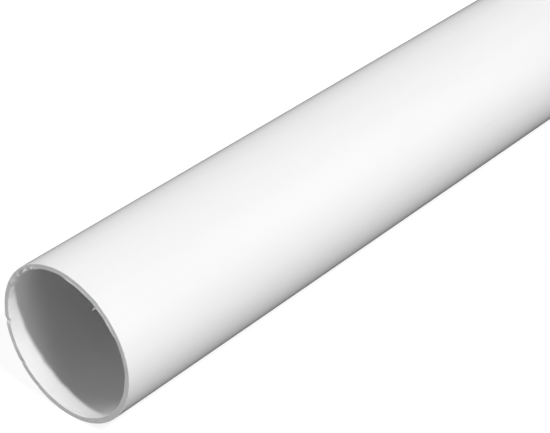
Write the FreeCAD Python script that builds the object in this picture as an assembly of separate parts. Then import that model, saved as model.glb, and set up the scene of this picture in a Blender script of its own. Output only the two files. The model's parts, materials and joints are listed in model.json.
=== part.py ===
import FreeCAD
import Part
import math
import os

# A straight length of rigid white PVC conduit pipe, lying on a level floor.
# It is one extruded tube: an even round wall, sawn square at both ends, with the sharp
# corners of each cut lightly broken. It has no bell or thread, so each end takes a slip-on
# coupler outside or a spigot inside.
# Sizes are in millimetres. The pipe lies along X. The origin is on the floor, under the
# middle of the pipe, and +Z is up. The near end is at -X and the far end at +X.

# Sizes of the stock
outer_diameter = 50.0
wall_thickness = 1.8
stock_length = 2000.0

# Each sawn corner is broken at 45 degrees, which takes this much off the cut and off the wall
outer_edge_break = 0.10
bore_edge_break = 0.10

# Worked out from the sizes above
outer_radius = outer_diameter / 2
bore_radius = outer_radius - wall_thickness
near_end_x = -stock_length / 2
axis_height = outer_radius  # the pipe rests on its round side

along_pipe = FreeCAD.Vector(1, 0, 0)


def circle_at_near_end(radius):
    """A circle round the pipe's axis, in the plane of the near cut."""
    centre = FreeCAD.Vector(near_end_x, 0, axis_height)
    return Part.Wire(Part.makeCircle(radius, centre, along_pipe))


def extruded_tube():
    """The wall's ring-shaped section, drawn out to the stock length."""
    rings = [circle_at_near_end(outer_radius), circle_at_near_end(bore_radius)]
    section = Part.makeFace(rings, "Part::FaceMakerBullseye")
    return section.extrude(along_pipe * stock_length)


def sawn_corners(tube, radius):
    """The two round edges of that radius, one at each end of the tube."""
    circles = [edge for edge in tube.Edges if isinstance(edge.Curve, Part.Circle)]
    return [edge for edge in circles if math.isclose(edge.Curve.Radius, radius)]


def conduit_pipe():
    """The tube with the corners of both cuts broken, outside and in the bore."""
    tube = extruded_tube()
    tube = tube.makeChamfer(outer_edge_break, sawn_corners(tube, outer_radius))
    tube = tube.makeChamfer(bore_edge_break, sawn_corners(tube, bore_radius))
    return tube


parts = {"conduit_pipe": conduit_pipe()}

os.makedirs("parts", exist_ok=True)
for node, shape in parts.items():
    shape.exportStep(os.path.join("parts", node + ".step"))
    box = shape.BoundBox
    print(
        f"{node}: {len(shape.Solids)} solid, valid {shape.isValid()}, "
        f"{box.XLength:.1f} x {box.YLength:.1f} x {box.ZLength:.1f} mm, "
        f"lowest point {box.ZMin:.3f}, volume {shape.Volume / 1000:.1f} cm3"
    )
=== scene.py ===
import json
import math

import bmesh
import bpy
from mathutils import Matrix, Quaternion, Vector, noise


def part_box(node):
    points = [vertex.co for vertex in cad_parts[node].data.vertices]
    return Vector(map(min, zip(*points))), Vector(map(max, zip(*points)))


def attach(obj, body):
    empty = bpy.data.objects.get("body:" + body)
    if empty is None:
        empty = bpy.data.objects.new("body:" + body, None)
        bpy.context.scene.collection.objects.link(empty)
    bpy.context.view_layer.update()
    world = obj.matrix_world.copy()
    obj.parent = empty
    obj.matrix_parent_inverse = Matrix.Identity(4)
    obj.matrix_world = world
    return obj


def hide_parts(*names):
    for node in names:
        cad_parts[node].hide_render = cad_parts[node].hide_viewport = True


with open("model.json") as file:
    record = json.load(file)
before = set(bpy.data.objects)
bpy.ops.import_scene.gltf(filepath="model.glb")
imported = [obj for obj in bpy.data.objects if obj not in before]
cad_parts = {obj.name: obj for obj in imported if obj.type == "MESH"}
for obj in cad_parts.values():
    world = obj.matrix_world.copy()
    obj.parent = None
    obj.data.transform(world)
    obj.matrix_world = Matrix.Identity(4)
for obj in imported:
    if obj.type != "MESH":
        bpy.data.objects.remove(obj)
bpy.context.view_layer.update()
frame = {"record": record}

# A straight length of white PVC conduit pipe on a white studio floor.
# Metres. The pipe lies along X with its near mouth at -X, and the floor is z = 0.

mm = 0.001

scene = bpy.context.scene
scene.view_settings.view_transform = "Standard"


# The camera

cameraSettings = {
    "lens": 119.94,        # mm, on the sensor width below
    "sensorWidth": 36.0,
    "azimuth": -49.92,     # degrees, 0 looks along +Y
    "elevation": 32.474,
    "mouthAhead": 513.81,  # where the centre of the near mouth lies from the lens, in mm
    "mouthLeft": 58.92,
    "mouthBelow": 35.91,
    "mouthDepth": 0.37,    # mean depth of the uneven cut, mm in from the pipe's end
}


def makeCamera(mouthCentre):
    s = cameraSettings
    azimuth, elevation = math.radians(s["azimuth"]), math.radians(s["elevation"])
    back = Vector((
        math.sin(azimuth) * math.cos(elevation),
        -math.cos(azimuth) * math.cos(elevation),
        math.sin(elevation),
    ))
    right = Vector((math.cos(azimuth), math.sin(azimuth), 0))
    up = back.cross(right)
    data = bpy.data.cameras.new("photo_camera")
    data.lens, data.sensor_width = s["lens"], s["sensorWidth"]
    data.clip_start, data.clip_end = 0.01, 100
    camera = bpy.data.objects.new("photo_camera", data)
    scene.collection.objects.link(camera)
    camera.location = mouthCentre + mm * (
        back * s["mouthAhead"] + right * s["mouthLeft"] + up * s["mouthBelow"]
    )
    camera.rotation_mode = "QUATERNION"
    camera.rotation_quaternion = (-back).to_track_quat("-Z", "Y")
    scene.camera = camera


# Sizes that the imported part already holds

def mountSize(name, key):
    mounts = {m["name"]: m for m in frame["record"]["mounts"]}
    return mounts[name]["dims"][key] * mm


low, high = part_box("conduit_pipe")
halfLength = (high.x - low.x) / 2
outerRadius = mountSize("near_end_outside", "r_mm")
boreRadius = mountSize("near_end_bore", "r_mm")
outerBreak = halfLength - mountSize("near_end_outside", "length_mm") / 2
boreBreak = halfLength - mountSize("near_end_bore", "length_mm") / 2
axisHeight = outerRadius  # the pipe lies on the floor
print(f"pipe: {2 * outerRadius / mm:.1f} mm outside, bore {2 * boreRadius / mm:.1f} mm")

makeCamera(Vector((-halfLength + cameraSettings["mouthDepth"] * mm, 0, axisHeight)))
print("camera: placed from the mouth")


# White PVC: the extruded skin, and the same plastic where the saw went through it

skinSettings = {
    "colour": (0.95, 0.95, 0.95, 1),
    "shade": (0.925, 0.925, 0.925, 1),  # faint cloudy patches
    "cloudScale": (12.0, 60.0),       # along the pipe and round it
    "roughness": 0.58,
    "roughnessSpread": 0.05,
    "grainScale": 900.0,
    "specular": 0.10,
    # painted shade: a grey coat that adds no reflection, which darkens the wall where it turns away
    "edgeShadeTint": (0.92, 0.92, 0.92, 1),
    "edgeShadeIor": 1.0,
    "boreShadeShare": 0.90,                # the bore's colours against the skin's, a tenth greyer as painted shade inside the pipe; it has no painted edge shade
    "dieLinePitch": 0.8,              # mm round the wall
    "dieLineDrift": 0.6,              # how much a line changes along the pipe
    "dieLineDepth": 0.003,            # mm
    "peelScale": 650.0,
    "peelDepth": 0.004,               # mm
    "scuffs": 0.35,
    "scuffColour": (0.80, 0.80, 0.80, 1),
    "scuffScale": (25.0, 1800.0),     # along the pipe and round it
    "scuffPatchScale": 14.0,
    "scuffDull": 0.2,                 # added to the roughness
}

sawnSettings = {
    "colour": (0.84, 0.84, 0.84, 1),
    "shade": (0.74, 0.74, 0.74, 1),
    "torn": (0.95, 0.95, 0.95, 1),    # where the saw tore the plastic it has gone white
    "shavingShare": 0.62,             # a thin shaving lets light through, so it is greyer
    "roughness": 0.75,
    "specular": 0.2,
    "scratchScale": 9000.0,
    "scratchStretch": 0.12,           # scale along a stroke against across it
    "scratchDepth": 0.02,             # mm
}


def newMaterial(name):
    material = bpy.data.materials.new(name)
    material.use_nodes = True
    nodes, links = material.node_tree.nodes, material.node_tree.links
    nodes.clear()
    output = nodes.new("ShaderNodeOutputMaterial")
    shader = nodes.new("ShaderNodeBsdfPrincipled")
    links.new(shader.outputs[0], output.inputs["Surface"])
    return material, nodes, links, shader


def mathNode(nodes, links, operation, first, second=None, third=None):
    node = nodes.new("ShaderNodeMath")
    node.operation = operation
    for socket, value in zip(node.inputs, (first, second, third)):
        if value is None:
            continue
        if isinstance(value, (int, float)):
            socket.default_value = value
        else:
            links.new(value, socket)
    return node.outputs[0]


def noiseNode(nodes, links, vector, scale, detail=2.0, rough=0.5):
    node = nodes.new("ShaderNodeTexNoise")
    node.inputs["Scale"].default_value = scale
    node.inputs["Detail"].default_value = detail
    node.inputs["Roughness"].default_value = rough
    links.new(vector, node.inputs["Vector"])
    return node.outputs["Fac"]


def rampNode(nodes, links, value, stops):
    node = nodes.new("ShaderNodeValToRGB")
    ramp = node.color_ramp
    for index, (position, colour) in enumerate(stops):
        stop = ramp.elements[index] if index < 2 else ramp.elements.new(position)
        stop.position, stop.color = position, colour
    links.new(value, node.inputs[0])
    return node.outputs[0]


def wrapCoordinates(nodes, links):
    # x along the pipe, and the arc round it, both in metres
    place = nodes.new("ShaderNodeTexCoord")
    split = nodes.new("ShaderNodeSeparateXYZ")
    links.new(place.outputs["Object"], split.inputs[0])
    height = mathNode(nodes, links, "SUBTRACT", split.outputs["Z"], axisHeight)
    angle = mathNode(nodes, links, "ARCTAN2", height, split.outputs["Y"])
    arc = mathNode(nodes, links, "MULTIPLY", angle, outerRadius)
    return place.outputs["Object"], split.outputs["X"], arc


def joinVector(nodes, links, x, y, z=0.0):
    node = nodes.new("ShaderNodeCombineXYZ")
    for socket, value in zip(node.inputs, (x, y, z)):
        if isinstance(value, (int, float)):
            socket.default_value = value
        else:
            links.new(value, socket)
    return node.outputs[0]


def stretched(nodes, links, along, arc, scale):
    first = mathNode(nodes, links, "MULTIPLY", along, scale[0])
    return joinVector(nodes, links, first, mathNode(nodes, links, "MULTIPLY", arc, scale[1]))


def shared(colour, share):
    return [tone * share for tone in colour[:3]] + [1]


def makeSkin(name, share, edgeShadeWeight):
    s = skinSettings
    black, full = (0, 0, 0, 1), (1, 1, 1, 1)
    material, nodes, links, shader = newMaterial(name)
    place, along, arc = wrapCoordinates(nodes, links)

    # cloudy patches a few centimetres long, drawn out along the pipe
    cloudPlace = stretched(nodes, links, along, arc, s["cloudScale"])
    cloud = noiseNode(nodes, links, cloudPlace, 1.0, 4.0, 0.55)
    tones = [(0.30, shared(s["shade"], share)), (0.62, shared(s["colour"], share))]
    colour = rampNode(nodes, links, cloud, tones)

    # hairline scuffs from handling, almost along the pipe
    scuffPlace = stretched(nodes, links, along, arc, s["scuffScale"])
    scuff = noiseNode(nodes, links, scuffPlace, 1.0, 2.0, 0.6)
    scuffMask = rampNode(nodes, links, scuff, [(0.66, black), (0.74, full)])
    patch = noiseNode(nodes, links, place, s["scuffPatchScale"], 1.0)
    patchMask = rampNode(nodes, links, patch, [(0.52, black), (0.70, full)])
    scuffShare = mathNode(nodes, links, "MULTIPLY", scuffMask, patchMask)
    scuffShare = mathNode(nodes, links, "MULTIPLY", scuffShare, s["scuffs"])

    tint = nodes.new("ShaderNodeMix")
    tint.data_type = "RGBA"
    links.new(scuffShare, tint.inputs["Factor"])
    links.new(colour, tint.inputs["A"])
    tint.inputs["B"].default_value = s["scuffColour"]
    links.new(tint.outputs["Result"], shader.inputs["Base Color"])

    # satin sheen that varies a little, duller on the scuffs
    grain = noiseNode(nodes, links, place, s["grainScale"], 2.0)
    smoothest = s["roughness"] - s["roughnessSpread"]
    spread = mathNode(nodes, links, "MULTIPLY_ADD", grain, 2 * s["roughnessSpread"], smoothest)
    gloss = mathNode(nodes, links, "MULTIPLY_ADD", scuffShare, s["scuffDull"], spread)
    links.new(gloss, shader.inputs["Roughness"])
    shader.inputs["Specular IOR Level"].default_value = s["specular"]
    # painted shade: a grey coat with no reflection darkens the wall towards its outline
    shader.inputs["Coat Weight"].default_value = edgeShadeWeight
    shader.inputs["Coat Roughness"].default_value = s["roughness"]
    shader.inputs["Coat IOR"].default_value = s["edgeShadeIor"]
    shader.inputs["Coat Tint"].default_value = s["edgeShadeTint"]

    # die lines that run the whole length, and a very fine orange peel
    lineRound = mathNode(nodes, links, "DIVIDE", arc, s["dieLinePitch"] * mm)
    lineAlong = mathNode(nodes, links, "MULTIPLY", along, s["dieLineDrift"])
    dieLines = noiseNode(nodes, links, joinVector(nodes, links, lineRound, lineAlong), 1.0, 3.0, 0.6)
    lineBump = nodes.new("ShaderNodeBump")
    lineBump.inputs["Distance"].default_value = s["dieLineDepth"] * mm
    links.new(dieLines, lineBump.inputs["Height"])
    peel = noiseNode(nodes, links, place, s["peelScale"], 2.0)
    peelBump = nodes.new("ShaderNodeBump")
    peelBump.inputs["Distance"].default_value = s["peelDepth"] * mm
    links.new(peel, peelBump.inputs["Height"])
    links.new(lineBump.outputs[0], peelBump.inputs["Normal"])
    links.new(peelBump.outputs[0], shader.inputs["Normal"])
    return material


def makeSawnFinish(name, share):
    s = sawnSettings
    material, nodes, links, shader = newMaterial(name)
    place = nodes.new("ShaderNodeTexCoord").outputs["Object"]
    mapping = nodes.new("ShaderNodeMapping")
    mapping.inputs["Rotation"].default_value = (math.radians(cutSettings["strokeAngle"]), 0, 0)
    mapping.inputs["Scale"].default_value = (1, s["scratchStretch"], 1)
    links.new(place, mapping.inputs["Vector"])
    stroke = noiseNode(nodes, links, mapping.outputs[0], s["scratchScale"], 3.0, 0.65)
    tones = [(0.30, shared(s["shade"], share)), (0.60, shared(s["colour"], share))]
    torn = nodes.new("ShaderNodeAttribute")  # how white the plastic went, from the mesh
    torn.attribute_name = "torn"
    whiten = nodes.new("ShaderNodeMix")
    whiten.data_type = "RGBA"
    links.new(torn.outputs["Fac"], whiten.inputs["Factor"])
    links.new(rampNode(nodes, links, stroke, tones), whiten.inputs["A"])
    whiten.inputs["B"].default_value = s["torn"]
    links.new(whiten.outputs["Result"], shader.inputs["Base Color"])
    shader.inputs["Roughness"].default_value = s["roughness"]
    shader.inputs["Specular IOR Level"].default_value = s["specular"]
    bump = nodes.new("ShaderNodeBump")
    bump.inputs["Distance"].default_value = s["scratchDepth"] * mm
    links.new(stroke, bump.inputs["Height"])
    links.new(bump.outputs[0], shader.inputs["Normal"])
    return material


# The pipe

pipeSettings = {
    "segments": 768,             # round the wall
    "faceRings": 11,             # across the sawn face
    "cornerSteps": 4,            # across each broken corner
    "wallStations": (0.3, 1.5, 4, 10, 30, 100, 400),  # mm in from each end
    "dieRelief": 0.002,          # mm, unevenness of the wall round the pipe
}

# How the saw left an end. Angles are in degrees round the pipe, from +Y up over +Z.
cutSettings = {
    "strokeAngle": 28,           # the saw's strokes against +Y
    "ridgePitch": 0.85,          # mm between the ridges
    "ridgeHeight": 0.035,        # mm
    "rag": 0.06,                 # mm, unevenness of the sawn edges
    "lipBase": 0.24,             # mm, width of the burr lip at its root
    "lipLean": 0.14,             # mm, how far a full lip leans into the bore
    "fullLip": 0.2,              # mm high
    "cornerSoft": 0.10,          # how much a broken corner is rounded, as a share of it
    "crumbSlope": 6,             # mm along the pipe for each mm that a crumb goes into the wall
    "boreRun": 0.25,             # mm of bore that the sawn finish takes in
}

nearCut = {
    "skew": ((1, 0.20, 0.15), (2, 0.12, 0.03)),  # mm along the pipe: order, cosine, sine
    # lips left standing at the bore's edge: from and to in degrees, height in mm
    "lip": (
        (61, 70, 0.16), (74, 88, 0.08), (89, 121, 0.28), (122, 135, 0.20), (136, 150, 0.30),
        (196, 240, 0.07),
    ),
    # places where the outer edge is knocked in: angle, width on its two sides and depth in mm
    "nicks": (
        (354.3, 0.35, 2.0, 0.45), (321.5, 0.9, 0.9, 0.12), (302, 0.8, 0.8, 0.12),
        (43, 0.8, 0.8, 0.10),
    ),
    # where the torn plastic went white: from and to in degrees, and how much
    "torn": ((27, 36, 0.9), (104, 152, 0.55), (328, 357, 0.8), (-12, 16, 0.45)),
    # crumbs broken out of the bore's edge: from and to in degrees, depth into the wall in mm
    "chips": (
        (40, 50.5, 1.30), (54.0, 59.0, 1.0), (62, 98, 0.20), (143, 184, 0.22), (246, 276, 0.16),
        (-6, 30, 0.32), (14, 47, 0.42),
    ),
    "seed": 3.0,
}

farCut = {
    "skew": ((1, -0.08, 0.12), (2, 0.05, 0.0)),
    "lip": ((15, 40, 0.12), (200, 221, 0.18), (290, 301, 0.12)),
    "nicks": ((88, 0.9, 0.9, 0.15),),
    "torn": ((205, 216, 0.5),),
    "chips": ((120, 124, 0.3),),
    "seed": 11.0,
}


def skewAt(cut, angle):
    depth = sum(c * math.cos(n * angle) + s * math.sin(n * angle) for n, c, s in cut["skew"])
    deepest = sum(math.hypot(c, s) for n, c, s in cut["skew"])
    return (depth + deepest) * mm  # the end never stands out past the stock length


def humpAt(spans, degrees, seed):
    # the highest of the humps that cover this angle, a little ragged along its length
    height = 0.0
    for start, stop, most in spans:
        share = ((degrees - start) % 360) / (stop - start)
        if 0 < share < 1:
            ragged = 0.8 + 0.5 * noise.noise(Vector((degrees * 0.9, seed, most)))
            height = max(height, most * math.sin(math.pi * share) ** 0.6 * ragged)
    return height * mm


def nickAt(cut, degrees):
    depth = 0.0
    for middle, after, before, most in cut["nicks"]:
        away = math.radians((degrees - middle + 180) % 360 - 180) * outerRadius / mm
        share = away / after if away > 0 else -away / before
        if share < 1:
            depth = max(depth, most * (0.5 + 0.5 * math.cos(math.pi * share)))
    return depth * mm


def ridgeAt(cut, y, z):
    c = cutSettings
    turn = math.radians(c["strokeAngle"])
    across = (-y * math.sin(turn) + z * math.cos(turn)) / mm
    along = (y * math.cos(turn) + z * math.sin(turn)) / mm
    wander = 0.6 * noise.noise(Vector((along * 0.08, across * 0.15, cut["seed"])))
    ridge = math.sin(2 * math.pi * (across / c["ridgePitch"] + wander))
    chatter = noise.noise(Vector((along * 0.25, across * 2.8, cut["seed"] + 5)))
    return c["ridgeHeight"] * mm * (0.5 * ridge + 0.7 * chatter)


def ragAt(cut, degrees, side):
    angle = math.radians(degrees)
    spot = Vector((math.cos(angle), math.sin(angle), side + cut["seed"]))
    return cutSettings["rag"] * mm * (noise.noise(spot * 9) + 0.7 * noise.noise(spot * 31))


def endProfile(cut, degrees):
    # one end, from the outer wall over the cut into the bore, as depth in from the end and radius
    angle = math.radians(degrees)
    c = cutSettings
    lip = humpAt(cut["lip"], degrees, cut["seed"]) + 0.01 * mm
    chip = humpAt(cut["chips"], degrees, cut["seed"] + 2)
    outerRag, boreRag = ragAt(cut, degrees, 1.0), ragAt(cut, degrees, 2.0)
    points = []
    steps = pipeSettings["cornerSteps"]
    for step in range(steps + 1):  # outer corner, a little rounded
        t = step / steps
        soft = c["cornerSoft"] * math.sin(math.pi * t) * outerBreak
        points.append((outerBreak * (1 - t) - soft + outerRag * t, outerRadius - outerBreak * t + soft))
    outer, inner = outerRadius - outerBreak, boreRadius + boreBreak
    faceRings = pipeSettings["faceRings"]
    for ring in range(1, faceRings + 1):
        t = ring / (faceRings + 1)
        radius = outer + (inner - outer) * t
        relief = ridgeAt(cut, radius * math.cos(angle), radius * math.sin(angle))
        rise = lip * max(0, 1 - (radius - inner) / (c["lipBase"] * mm)) ** 1.5
        depth = outerRag * (1 - t) + boreRag * t + relief * math.sin(math.pi * t) ** 0.4 - rise
        points.append((depth, radius))
    # over the lip's crest, down its side in the bore and on to the bore's wall
    lean = c["lipLean"] * mm * min(1, lip / (c["fullLip"] * mm))
    points.append((boreRag - lip, inner - 0.3 * boreBreak))
    points.append((boreRag - 0.93 * lip, inner - 0.7 * boreBreak - 0.6 * lean))
    points.append((boreRag - 0.55 * lip, inner - boreBreak - lean))
    points.append((boreBreak + boreRag, boreRadius - 0.3 * lean))
    points.append((boreBreak + c["boreRun"] * mm + 0.6 * chip, boreRadius))
    shift = skewAt(cut, angle) + nickAt(cut, degrees)
    broken = boreRadius + chip
    steep = c["crumbSlope"]
    return [(depth + shift + steep * max(0, broken - radius), radius) for depth, radius in points]


def wallRelief(angle, side):
    # the die leaves the wall a few microns uneven all the way along
    spot = Vector((math.cos(angle) * 22, math.sin(angle) * 22, side))
    return pipeSettings["dieRelief"] * mm * noise.noise(spot)


def makePipe(skin, sawn, boreSkin):
    p = pipeSettings
    tornAt = []
    segments = p["segments"]
    stations = [s * mm for s in p["wallStations"]]
    bm = bmesh.new()
    rings = []
    for segment in range(segments):
        degrees = 360 * segment / segments
        angle = math.radians(degrees)
        near = [(-halfLength + d, r) for d, r in endProfile(nearCut, degrees)]
        far = [(halfLength - d, r) for d, r in endProfile(farCut, degrees)]
        bore = [(near[-1][0] + s, boreRadius) for s in stations]
        bore += [(far[-1][0] - s, boreRadius) for s in reversed(stations)]
        outside = [(far[0][0] - s, outerRadius) for s in stations]
        outside += [(near[0][0] + s, outerRadius) for s in reversed(stations)]
        loop = near + bore + far[::-1] + outside
        ring = []
        tornNear, tornFar = (humpAt(cut["torn"], degrees, 7.0) / mm for cut in (nearCut, farCut))
        for x, radius in loop:
            tornAt.append(tornNear if x < 0 else tornFar)
            side = 1.0 if radius > (outerRadius + boreRadius) / 2 else 4.0
            radius += wallRelief(angle, side)
            y, z = radius * math.cos(angle), axisHeight + radius * math.sin(angle)
            ring.append(bm.verts.new((x, y, z)))
        rings.append(ring)
    count = len(rings[0])
    endCount = len(near)
    boreCount = 2 * len(stations)
    for segment in range(segments):
        one, two = rings[segment], rings[(segment + 1) % segments]
        for index in range(count):
            after = (index + 1) % count
            face = bm.faces.new((one[index], one[after], two[after], two[index]))
            onNear = index < endCount - 1
            onFar = endCount + boreCount <= index < 2 * endCount + boreCount - 1
            inBore = endCount - 1 <= index < endCount + boreCount
            face.material_index = 1 if onNear or onFar else 2 if inBore else 0
            face.smooth = True
    bmesh.ops.recalc_face_normals(bm, faces=bm.faces)
    for edge in bm.edges:
        first, second = edge.link_faces
        edge.smooth = first.material_index == second.material_index
    mesh = bpy.data.meshes.new("white_pipe")
    bm.to_mesh(mesh)
    bm.free()
    mesh.attributes.new("torn", "FLOAT", "POINT").data.foreach_set("value", tornAt)
    pipe = bpy.data.objects.new("white_pipe", mesh)
    scene.collection.objects.link(pipe)
    mesh.materials.append(skin)
    mesh.materials.append(sawn)
    mesh.materials.append(boreSkin)
    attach(pipe, "root")
    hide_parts("conduit_pipe")
    print(f"pipe: {len(mesh.polygons)} faces")
    return pipe


# Saw burrs still hanging on the near mouth

burrSettings = {
    "nodes": 9,          # along a burr
    "sides": 8,          # round a burr
    "rootDepth": 0.12,   # mm, how far under the cut a burr is rooted
    "taper": 0.8,        # share of its width that a burr loses at its tip
    "wobble": 0.25,      # unevenness of its width
    # Each burr: where it is rooted, in degrees round the pipe and mm from the axis; its length,
    # width and thickness in mm; how much it heads into the bore, round the pipe and out of the
    # cut; and how far it curls, in degrees.
    "burrs": (
        ((52.4, 23.9), (1.9, 1.05, 0.60), (0.50, 0.15, 0.8), 50),
        ((60.2, 23.8), (2.2, 0.95, 0.50), (0.20, 0.80, 0.7), 35),
        ((125.9, 23.6), (1.9, 0.80, 0.34), (1.0, -0.10, 0.3), 40),
        ((110.5, 23.3), (0.9, 0.35, 0.18), (0.35, -0.8, 0.5), 30),
        ((142.5, 23.3), (1.1, 0.38, 0.20), (0.30, 0.8, 0.5), 30),
        ((40.5, 23.5), (1.0, 0.40, 0.20), (0.45, -0.6, 0.5), 35),
    ),
}


def burrRing(bm, centre, along, across, size):
    normal = along.cross(across).normalized()
    width, thickness = size
    ring = []
    for side in range(burrSettings["sides"]):
        turn = 2 * math.pi * side / burrSettings["sides"]
        sideways = across * (width / 2 * math.cos(turn))
        ring.append(bm.verts.new(centre + sideways + normal * (thickness / 2 * math.sin(turn))))
    return ring


def makeBurrs(shaving):
    b = burrSettings
    bm = bmesh.new()
    for number, ((degrees, radius), size, (inward, side, out), curl) in enumerate(b["burrs"]):
        angle = math.radians(degrees)
        outward = Vector((0, math.cos(angle), math.sin(angle)))
        roundPipe = Vector((0, -math.sin(angle), math.cos(angle)))
        fromCut = Vector((-1, 0, 0))
        length, width, thickness = (measure * mm for measure in size)
        heading = (-outward * inward + roundPipe * side + fromCut * out).normalized()
        across = heading.cross(fromCut if inward > 0.9 else outward).normalized()
        depth = skewAt(nearCut, angle) + b["rootDepth"] * mm
        point = Vector((-halfLength + depth, 0, axisHeight)) + outward * radius * mm
        bend = math.radians(curl) / b["nodes"]
        rings = []
        for node in range(b["nodes"]):
            t = node / (b["nodes"] - 1)
            wobble = 1 + b["wobble"] * noise.noise(Vector((t * 4, number * 3.7, 0)))
            taper = (1 - b["taper"] * t ** 1.6) * wobble
            ring = burrRing(bm, point, heading, across, (width * taper, thickness * taper))
            rings.append(ring)
            point = point + heading * length / b["nodes"]
            heading.rotate(Quaternion(across, bend))
        for one, two in zip(rings, rings[1:]):
            for index in range(b["sides"]):
                after = (index + 1) % b["sides"]
                bm.faces.new((one[index], one[after], two[after], two[index]))
        bm.faces.new(rings[0])
        bm.faces.new(rings[-1])
    for face in bm.faces:
        face.smooth = len(face.verts) == 4
    bmesh.ops.recalc_face_normals(bm, faces=bm.faces)
    mesh = bpy.data.meshes.new("saw_burrs")
    bm.to_mesh(mesh)
    bm.free()
    burrs = bpy.data.objects.new("saw_burrs", mesh)
    scene.collection.objects.link(burrs)
    mesh.materials.append(shaving)
    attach(burrs, "root")
    print(f"burrs: {len(b['burrs'])} on the near mouth")


makePipe(
    makeSkin("white_pvc_skin_edge_shade", 1.0, 1.0),
    makeSawnFinish("white_pvc_sawn", 1.0),
    # the bore is painted a tenth greyer, as shade inside the pipe
    makeSkin("white_pvc_bore_painted_shade", skinSettings["boreShadeShare"], 0.0),
)
makeBurrs(makeSawnFinish("white_pvc_shaving", sawnSettings["shavingShare"]))
print("finishes: extruded skin, sawn face, shavings")


# Studio: a hard key lamp high in front, three broad lamps round the pipe, a weak sky and a white sweep

studioSettings = {
    # where each lamp stands, its strength, and its width in degrees, which softens its shadow
    "lamps": {
        "key_lamp": ((-0.130, -0.628, 0.768), 2.20, 2.3),
        "back_lamp": ((0, 0.90, 0.44), 1.9, 40),
        "front_lamp": ((-0.1, -0.98, 0.20), 1.0, 25),
        "mouth_lamp": ((-0.90, 0.1, 0.43), 0.50, 50),
    },
    "sky": 0.13,
    "floorGrey": 0.17,
    "floorLift": 0.87,  # brings the lit floor up to white for the camera
    "floorSize": 60.0,
}


def makeLamps():
    for name, (standsAt, strength, width) in studioSettings["lamps"].items():
        data = bpy.data.lights.new(name, "SUN")
        data.energy = strength
        data.angle = math.radians(width)
        lamp = bpy.data.objects.new(name, data)
        scene.collection.objects.link(lamp)
        lamp.rotation_mode = "QUATERNION"
        lamp.rotation_quaternion = (-Vector(standsAt)).to_track_quat("-Z", "Y")


def seenRays(nodes, links):
    # 1 where the camera, a reflection or a clear thing looks, 0 where the surface lights others
    path = nodes.new("ShaderNodeLightPath")
    camera, glossy = path.outputs["Is Camera Ray"], path.outputs["Is Glossy Ray"]
    seen = mathNode(nodes, links, "MAXIMUM", camera, glossy)
    return mathNode(nodes, links, "MAXIMUM", seen, path.outputs["Is Transmission Ray"])


def makeWorld():
    world = bpy.data.worlds.new("studio_sky")
    scene.world = world
    world.use_nodes = True
    nodes, links = world.node_tree.nodes, world.node_tree.links
    nodes.clear()
    output = nodes.new("ShaderNodeOutputWorld")
    sky = nodes.new("ShaderNodeBackground")
    sky.inputs["Color"].default_value = (1, 1, 1, 1)
    sky.inputs["Strength"].default_value = studioSettings["sky"]
    white = nodes.new("ShaderNodeBackground")
    white.inputs["Color"].default_value = (1, 1, 1, 1)
    mix = nodes.new("ShaderNodeMixShader")
    links.new(seenRays(nodes, links), mix.inputs[0])
    links.new(sky.outputs[0], mix.inputs[1])
    links.new(white.outputs[0], mix.inputs[2])
    links.new(mix.outputs[0], output.inputs["Surface"])


def makeFloor():
    s = studioSettings
    bm = bmesh.new()
    bmesh.ops.create_grid(bm, x_segments=1, y_segments=1, size=s["floorSize"] / 2)
    mesh = bpy.data.meshes.new("studio_floor")
    bm.to_mesh(mesh)
    bm.free()
    floor = bpy.data.objects.new("studio_floor", mesh)
    scene.collection.objects.link(floor)
    material = bpy.data.materials.new("white_sweep")
    material.use_nodes = True
    nodes, links = material.node_tree.nodes, material.node_tree.links
    nodes.clear()
    output = nodes.new("ShaderNodeOutputMaterial")
    paint = nodes.new("ShaderNodeBsdfDiffuse")
    paint.inputs["Color"].default_value = (s["floorGrey"],) * 3 + (1,)
    lift = nodes.new("ShaderNodeEmission")
    liftShare = mathNode(nodes, links, "MULTIPLY", seenRays(nodes, links), s["floorLift"])
    links.new(liftShare, lift.inputs["Strength"])
    add = nodes.new("ShaderNodeAddShader")
    links.new(paint.outputs[0], add.inputs[0])
    links.new(lift.outputs[0], add.inputs[1])
    links.new(add.outputs[0], output.inputs["Surface"])
    mesh.materials.append(material)


makeLamps()
makeWorld()
makeFloor()
print("studio: lamps, sky and floor")
